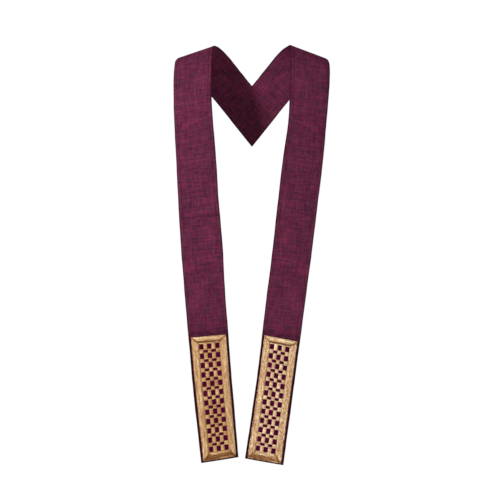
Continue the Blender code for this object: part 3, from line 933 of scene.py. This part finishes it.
# ---- materials
class Nodes:
    """Short calls that add nodes to a material or a world. Inputs are sockets or plain numbers."""

    def __init__(self, owner, shader="Principled BSDF"):
        owner.use_nodes = True
        self.owner = owner
        self.tree = owner.node_tree
        self.shader = self.tree.nodes[shader]

    def feed(self, node, inputs):
        """Fill a node's inputs, which go by their names or their places."""
        for key, value in inputs.items():
            if isinstance(value, bpy.types.NodeSocket):
                self.tree.links.new(value, node.inputs[key])
            else:
                node.inputs[key].default_value = value

    def surface(self, inputs):
        """Fill the shader's inputs, and return what the nodes belong to."""
        self.feed(self.shader, inputs)
        return self.owner

    def node(self, kind, inputs, **settings):
        made = self.tree.nodes.new(kind)
        for setting, value in settings.items():
            setattr(made, setting, value)
        self.feed(made, inputs)
        return made

    def math(self, operation, *values):
        inputs = dict(enumerate(values))
        return self.node("ShaderNodeMath", inputs, operation=operation).outputs[0]

    def plus(self, first, second):
        return self.math("ADD", first, second)

    def minus(self, first, second):
        return self.math("SUBTRACT", first, second)

    def times(self, first, second):
        return self.math("MULTIPLY", first, second)

    def times_plus(self, value, factor, rest):
        return self.math("MULTIPLY_ADD", value, factor, rest)

    def either(self, share, first, second):
        """first where share is 0, and second where it is 1."""
        return self.times_plus(self.minus(second, first), share, first)

    def ridges(self, value):
        """A rounded ridge over each whole step of the value."""
        return self.math("ABSOLUTE", self.math("SINE", self.times(value, math.pi)))

    def between(self, low, high, value):
        """0 where value is at low, 1 at high, and smooth between them."""
        inputs = {"Value": value, "From Min": low, "From Max": high}
        node = self.node("ShaderNodeMapRange", inputs, interpolation_type="SMOOTHSTEP")
        return node.outputs["Result"]

    def coordinates(self, layer):
        """The two numbers of a UV map, as separate sockets."""
        uv = self.node("ShaderNodeUVMap", {}, uv_map=layer)
        split = self.node("ShaderNodeSeparateXYZ", {0: uv.outputs[0]})
        return split.outputs[0], split.outputs[1]

    def attribute(self, name):
        return self.node("ShaderNodeAttribute", {}, attribute_name=name).outputs["Fac"]

    def noise(self, *place, detail=2.0):
        joined = self.node("ShaderNodeCombineXYZ", dict(enumerate(place)))
        inputs = {"Vector": joined.outputs[0], "Scale": 1.0, "Detail": detail}
        return self.node("ShaderNodeTexNoise", inputs).outputs["Fac"]

    def patches(self, out, run, name):
        """Smooth noise in patches of a named size across and along the band."""
        wide, long, layer = PATCHES[name]
        across = self.times(out, 1.0 / (wide * MM))
        return self.noise(across, self.times(run, 1.0 / (long * MM)), layer)

    def ramp(self, value, stops, interpolation="LINEAR"):
        node = self.node("ShaderNodeValToRGB", {0: value})
        node.color_ramp.interpolation = interpolation
        elements = node.color_ramp.elements
        while len(elements) < len(stops):
            elements.new(0.5)
        for element, (place, color) in zip(elements, stops):
            element.position = place
            element.color = (*color, 1.0)
        return node.outputs["Color"]

    def bump(self, height, distance, strength):
        inputs = {"Height": height, "Distance": distance, "Strength": strength}
        return self.node("ShaderNodeBump", inputs).outputs[0]


YARN = 0.75 * MM               # pitch of the cloth's warp and weft
YARN_APART = 3.71              # far enough that neighbouring yarns differ in the noise
SLUBS = {"warp": (20.0 * MM, 4.0), "weft": (24.0 * MM, 9.0)}     # length, layer of the noise
YARN_SWELL = 1.5               # the pale parts of a yarn are also thick
# Noise on the cloth, in mm across and along the band, and the layer that it is taken from.
PATCHES = {
    "warp": (2.9, 24.0, 1.5),
    "weft": (26.0, 2.9, 7.5),
    "tone": (30.0, 44.0, 2.5),
    "hem": (60.0, 26.0, 12.5),
    "slate": (8.0, 9.0, 17.5),
    "pucker": (14.0, 9.0, 21.5),
}
YARN_CONTRAST = 1.05
PATCH_CONTRAST = 0.20
SLATE_PATCHES = (0.34, 0.66)   # noise at which the crimson starts to turn, and is all slate
CRIMSON_STOPS = (
    (0.20, (0.023, 0.0048, 0.0130)),
    (0.50, (0.061, 0.0094, 0.0232)),
    (0.80, (0.124, 0.0158, 0.0415)),
)
SLATE_STOPS = (
    (0.20, (0.017, 0.0062, 0.0148)),
    (0.50, (0.049, 0.0120, 0.0258)),
    (0.80, (0.106, 0.0180, 0.0445)),
)
EDGE_SHADE = 0.50              # painted shade along the rounded edges, where the cloth turns from the light
EDGE_SHADE_SPAN = (1.2 * MM, 4.2 * MM)
HEM_SHADE = 0.30               # painted shade in the groove where the turned-in cloth ends under it
HEM_LINE = TURNED_EDGE + 0.4 * MM
HEM_LINE_HALF = (0.4 * MM, 2.4 * MM)
HEM_GAPS = (0.30, 0.60)        # noise over which that line comes and goes
CREASE_SHADE = 0.17            # painted shade in the sharp creases
# Painted shade also darkens the cloth behind and near the embroidery: round the frame, which shades
# # it, and above it, where the embroidery pulls it into puckers. Each shade ends over a span in mm
# # from the top of the panel: start, end and depth. The last one shows only in patches.
PANEL_SHADES = ((-1.0, 3.0, 0.56), (0.0, 60.0, 0.14))
PUCKER_SHADE = (8.0, 22.0, 0.42)
PUCKER_PATCHES = (0.42, 0.62)
WEAVE_BUMP = (0.16 * MM, 0.55)     # height and strength
CLOTH_ROUGHNESS = 0.75


def purple_cloth():
    """Plain weave of uneven slub yarns, crimson and slate, with painted shade along its edges, in
    its creases and round the embroidery.
    """
    n = Nodes(bpy.data.materials.new("purple_cloth"))
    out, run = n.coordinates("weave")
    outside = n.attribute("outside")
    yarns, tones, rounds = [], [], []
    for name, across, along in (("warp", out, run), ("weft", run, out)):
        slub, layer = SLUBS[name]
        place = n.times(across, 1.0 / YARN)
        yarn = n.math("FLOOR", place)
        slubs = n.noise(n.times(yarn, YARN_APART), n.times(along, 1.0 / slub), layer)
        yarns.append(yarn)
        tones.append(n.plus(slubs, n.patches(out, run, name)))
        rounds.append(n.ridges(place))
    weft_over = n.math("FLOORED_MODULO", n.plus(*yarns), 2.0)
    woven = n.minus(n.either(weft_over, *tones), 1.0)
    tone = n.times_plus(woven, YARN_CONTRAST, 0.5)
    tone = n.plus(tone, n.times(n.minus(n.patches(out, run, "tone"), 0.5), PATCH_CONTRAST))

    from_edge = n.math("MINIMUM", n.math("MINIMUM", out, n.minus(BAND_WIDTH, out)), run)
    # A line of painted shade, also tinted slate, in the groove beside the turned hem.
    from_line = n.math("ABSOLUTE", n.minus(from_edge, HEM_LINE))
    hem_groove_shade = n.minus(1.0, n.between(*HEM_LINE_HALF, from_line))
    hem_groove_shade = n.times(hem_groove_shade, n.between(*HEM_GAPS, n.patches(out, run, "hem")))
    hem_groove_shade = n.times(hem_groove_shade, outside)
    slate = n.between(*SLATE_PATCHES, n.patches(out, run, "slate"))
    slate = n.math("MAXIMUM", slate, hem_groove_shade)
    crimson_slate = {0: slate, 1: n.ramp(tone, CRIMSON_STOPS), 2: n.ramp(tone, SLATE_STOPS)}
    color = n.node("ShaderNodeMixRGB", crimson_slate).outputs[0]

    def below(start, end):
        """1 on the outside below start, in mm from the top of the panel, and 0 above end."""
        above = n.between(PANEL_TOP + start * MM, PANEL_TOP + end * MM, run)
        return n.math("MAXIMUM", n.minus(outside, above), 0.0)

    # Painted shade along the rounded edges, where the cloth turns from the light.
    edge_shade_mask = n.minus(1.0, n.between(*EDGE_SHADE_SPAN, from_edge))
    shades = [(edge_shade_mask, EDGE_SHADE), (hem_groove_shade, HEM_SHADE)]
    # Painted shade round and above the embroidery, and in patches over its puckers.
    shades += [(below(start, end), depth) for start, end, depth in PANEL_SHADES]
    start, end, depth = PUCKER_SHADE
    pucker_shade_mask = n.between(*PUCKER_PATCHES, n.patches(out, run, "pucker"))
    shades.append((n.times(below(start, end), pucker_shade_mask), depth))
    shades.append((n.attribute("crease_painted_shade"), CREASE_SHADE))
    light = 1.0
    for mask, depth in shades:
        light = n.times(light, n.times_plus(mask, -depth, 1.0))

    shaded = n.node("ShaderNodeVectorMath", {0: color, "Scale": light}, operation="SCALE")
    height = n.plus(n.either(weft_over, *rounds), n.times(woven, YARN_SWELL))
    return n.surface({
        "Base Color": shaded.outputs[0], "Normal": n.bump(height, *WEAVE_BUMP),
        "Roughness": CLOTH_ROUGHNESS, "Specular IOR Level": 0.0,
    })


STRANDS = 2.0                  # in a thread
FLECK = 1.6 * MM               # length of the flecks along a thread
FLECKS_ROUND = 3.0
FLECK_LAYERS = 40.0            # threads of unlike tones have unlike flecks
FLECK_TONE = 0.30
FLECK_ROUGHNESS = 0.22
RIDGE_HIGHLIGHT = 0.12              # painted highlight: the twisted strands are lighter on their ridges and darker between them
RIDGE_MEAN = 0.6
THREAD_BUMP = (0.05 * MM, 0.5)     # height and strength
GOLD_THREAD = {"metallic": 0.35, "gloss": 0.08, "roughness": 0.42, "twist": 0.9 * MM}
PURPLE_THREAD = {"metallic": 0.0, "gloss": 0.0, "roughness": 0.55, "twist": 1.2 * MM}


def thread_material(name, stops, metallic, gloss, roughness, twist):
    """Embroidery thread, with a tone for each stitch and strands in a fine twist, with painted
    highlight on their ridges.
    """
    n = Nodes(bpy.data.materials.new(name))
    tone = n.attribute("tone")
    turn, run = n.coordinates("thread")
    ridge = n.ridges(n.times_plus(run, 1.0 / twist, n.times(turn, STRANDS)))
    fleck = n.noise(n.times(run, 1.0 / FLECK), n.times(turn, FLECKS_ROUND),
                    n.times(tone, FLECK_LAYERS), detail=1.0)
    shaded = n.times_plus(n.minus(fleck, 0.5), FLECK_TONE, tone)
    # Painted highlight on the strands' ridges.
    shaded = n.times_plus(n.minus(ridge, RIDGE_MEAN), RIDGE_HIGHLIGHT, shaded)
    return n.surface({
        "Base Color": n.ramp(shaded, stops), "Normal": n.bump(ridge, *THREAD_BUMP),
        "Roughness": n.times_plus(fleck, FLECK_ROUGHNESS, roughness - FLECK_ROUGHNESS / 2.0),
        "Metallic": metallic, "Specular IOR Level": gloss,
    })


BAR_STOPS = (
    (0.00, (0.050, 0.011, 0.002)),
    (0.16, (0.163, 0.059, 0.013)),
    (0.48, (0.375, 0.216, 0.102)),
    (0.72, (0.56, 0.400, 0.220)),
    (0.95, (0.76, 0.650, 0.385)),
)
CHECK_STOPS = (
    (0.05, (0.10, 0.022, 0.008)),
    (0.48, (0.33, 0.163, 0.068)),
    (0.72, (0.49, 0.335, 0.142)),
    (0.95, (0.70, 0.590, 0.270)),
)
# The left panel catches more light, and its gold looks paler there.
BAR_TINTS = {"right": (1.0, 1.0, 1.0), "left": (1.0, 1.05, 1.15)}
CHECK_TINTS = {"right": (1.0, 1.0, 1.0), "left": (1.10, 1.28, 1.74)}
PURPLE_THREAD_STOPS = (
    (0.15, (0.019, 0.0006, 0.0068)),
    (0.50, (0.041, 0.0012, 0.0152)),
    (0.90, (0.084, 0.0024, 0.0350)),
)


def tinted(stops, tint):
    return [(place, [part * share for part, share in zip(color, tint)]) for place, color in stops]


# ---- camera, light and floor
LENS = 110.77                  # mm
SENSOR = 36.0
CAMERA_PLACE = (-0.0052, -4.0, -0.5317)
AIM = Vector((0.0, -0.08, -0.52))
# Each light: name, place, side of its square in metres, watts.
LIGHTS = (
    ("key", (-2.9, -3.9, 2.2), 0.9, 520.0),
    ("top", (-0.3, -1.2, 2.3), 1.4, 3.0),
    ("fill", (2.6, -2.6, 0.1), 2.2, 8.0),
    ("back", (0.9, 3.2, 1.2), 1.8, 230.0),
)
# Brightness of the studio round the object: sine of the height above the horizon, level.
STUDIO_RING = ((0.18, 1.0), (0.50, 0.15))
FLOOR_LEVEL = -1.45            # the shoulders of a standing wearer are this far above the floor
FLOOR_RADIUS = 1.3
FLOOR_GREY = 0.80
FLOOR_ROUGHNESS = 0.9


def make_camera():
    data = bpy.data.cameras.new("camera")
    data.sensor_width = SENSOR
    data.lens = LENS
    camera = add_object("camera", data, CAMERA_PLACE)
    camera.rotation_euler = (math.pi / 2.0, 0.0, 0.0)
    bpy.context.scene.camera = camera


def make_lights():
    for name, place, size, watts in LIGHTS:
        data = bpy.data.lights.new(name, "AREA")
        data.size = size
        data.energy = watts
        light = add_object(name, data, place)
        light.rotation_euler = (AIM - Vector(place)).to_track_quat("-Z", "Y").to_euler()
        light.visible_camera = False
    n = Nodes(bpy.data.worlds.new("studio"), "Background")
    direction = n.node("ShaderNodeTexCoord", {}).outputs["Generated"]
    rise = n.node("ShaderNodeSeparateXYZ", {0: direction}).outputs["Z"]
    stops = [(0.5 + 0.5 * height, (level,) * 3) for height, level in STUDIO_RING]
    sky = n.ramp(n.times_plus(rise, 0.5, 0.5), stops, "EASE")
    bpy.context.scene.world = n.surface({"Color": sky})


def make_floor():
    bpy.ops.mesh.primitive_circle_add(vertices=96, radius=FLOOR_RADIUS, fill_type="NGON",
                                      location=(0.0, 0.0, FLOOR_LEVEL))
    floor = bpy.context.object
    floor.name = "studio_floor"
    material = Nodes(bpy.data.materials.new("pale_floor")).surface({
        "Base Color": (FLOOR_GREY, FLOOR_GREY, FLOOR_GREY, 1.0), "Roughness": FLOOR_ROUGHNESS,
        "Specular IOR Level": 0.0,
    })
    floor.data.materials.append(material)


SEEDS = {"right": 11, "left": 23}


def main():
    bpy.context.scene.view_settings.view_transform = "Standard"
    make_camera()
    make_lights()
    make_floor()
    cloth = purple_cloth()
    purple = thread_material("purple_thread", PURPLE_THREAD_STOPS, **PURPLE_THREAD)
    for name, seed in SEEDS.items():
        band = WornBand(name)
        draws = np.random.default_rng(seed)
        bar_stops = tinted(BAR_STOPS, BAR_TINTS[name])
        check_stops = tinted(CHECK_STOPS, CHECK_TINTS[name])
        bar_gold = thread_material("gold_bar_thread_" + name, bar_stops, **GOLD_THREAD)
        check_gold = thread_material("gold_check_thread_" + name, check_stops, **GOLD_THREAD)
        shell = make_cloth(band, cloth)
        embroidery = make_frame(band, bar_gold, draws) + make_check(band, check_gold, purple, draws)


main()
